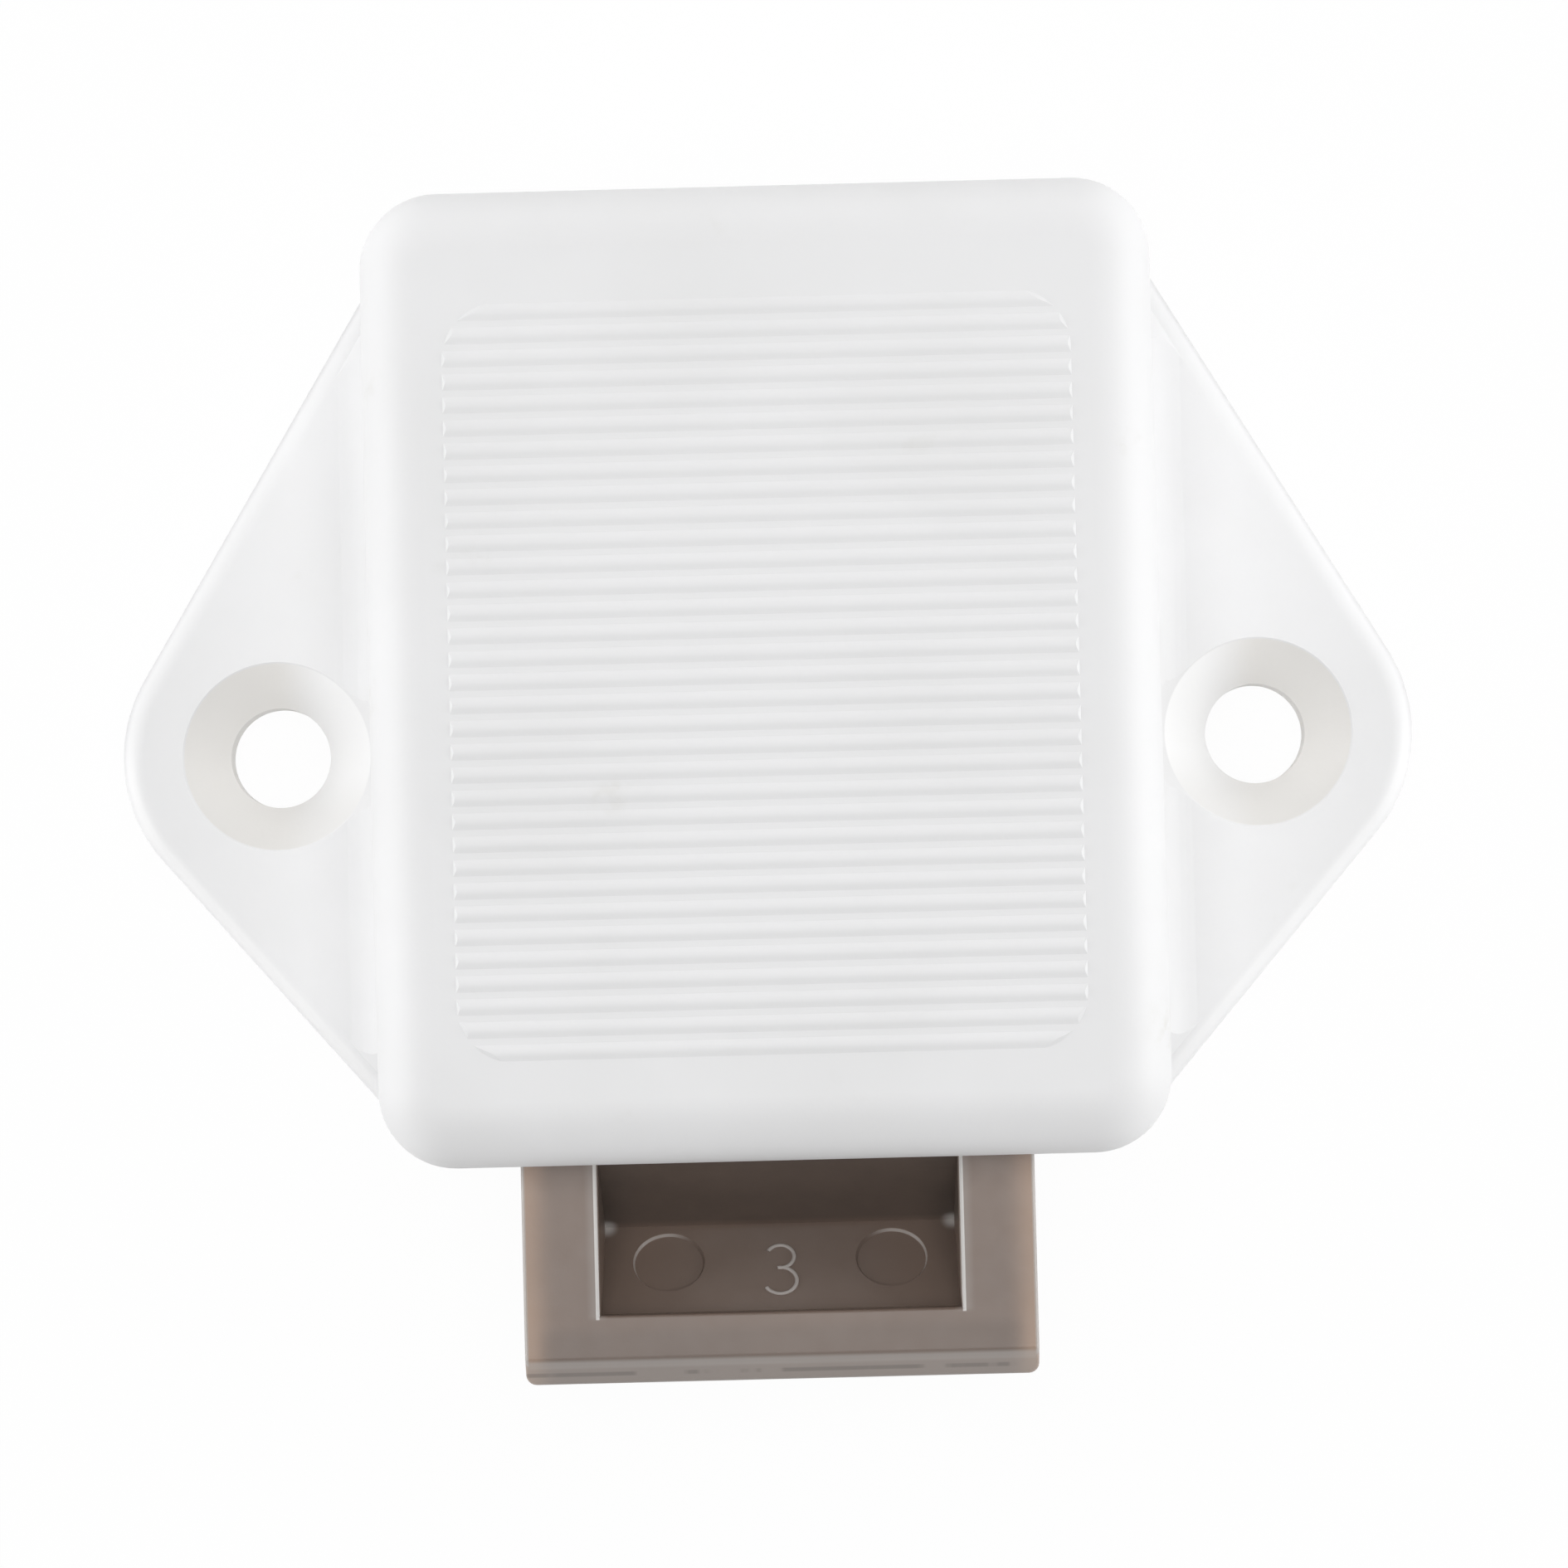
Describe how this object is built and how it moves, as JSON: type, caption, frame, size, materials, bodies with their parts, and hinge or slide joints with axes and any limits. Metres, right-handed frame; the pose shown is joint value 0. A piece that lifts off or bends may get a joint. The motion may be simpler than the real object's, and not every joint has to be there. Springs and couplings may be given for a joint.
{
  "type": "touch latch",
  "caption": "Push-to-open cupboard latch: white ribbed case with two countersunk screw ears and a sprung grey-brown tongue with a strike pocket, held in by a heart groove and wire follower.",
  "frame": {"origin": "on the mounting face, midway between the two screw holes", "axes": "+Z from the mounting face to the ribbed cover, +X from one screw hole to the other, -Y the way the tongue comes out"},
  "size_m": [0.058, 0.0522, 0.0153],
  "materials": {
    "white_plastic": "satin moulded white plastic",
    "brown_plastic": "grey-brown moulded acetal",
    "spring_steel": "drawn spring steel",
    "screw_steel": "zinc-plated steel"
  },
  "bodies": {
    "case": {"housing": "white_plastic", "base_plate": "white_plastic", "base_screw_1": "screw_steel", "base_screw_2": "screw_steel", "base_screw_3": "screw_steel", "base_screw_4": "screw_steel", "spring_left": "spring_steel", "spring_right": "spring_steel", "follower_leaf_spring": "spring_steel"},
    "slide": {"tongue": "brown_plastic"},
    "follower": {"cam_follower": "spring_steel"}
  },
  "joints": [
    {"name": "tongue_slide", "type": "slide", "parent": "case", "child": "slide", "axis": [0, 1, 0], "range_m": [0, 0.0087], "stiffness_N_per_m": 620, "springref_m": -0.004, "deforming": ["spring_left", "spring_right"]},
    {"name": "follower_swing", "type": "hinge", "parent": "case", "child": "follower", "pos_m": [0, 0.0155, 0.0102], "axis": [0, 0, 1], "range_deg": [0, 13.8]}
  ],
  "couplings": [
    {"joint": "follower_swing", "follows": "tongue_slide", "rad_per_m": 27.68}
  ]
}
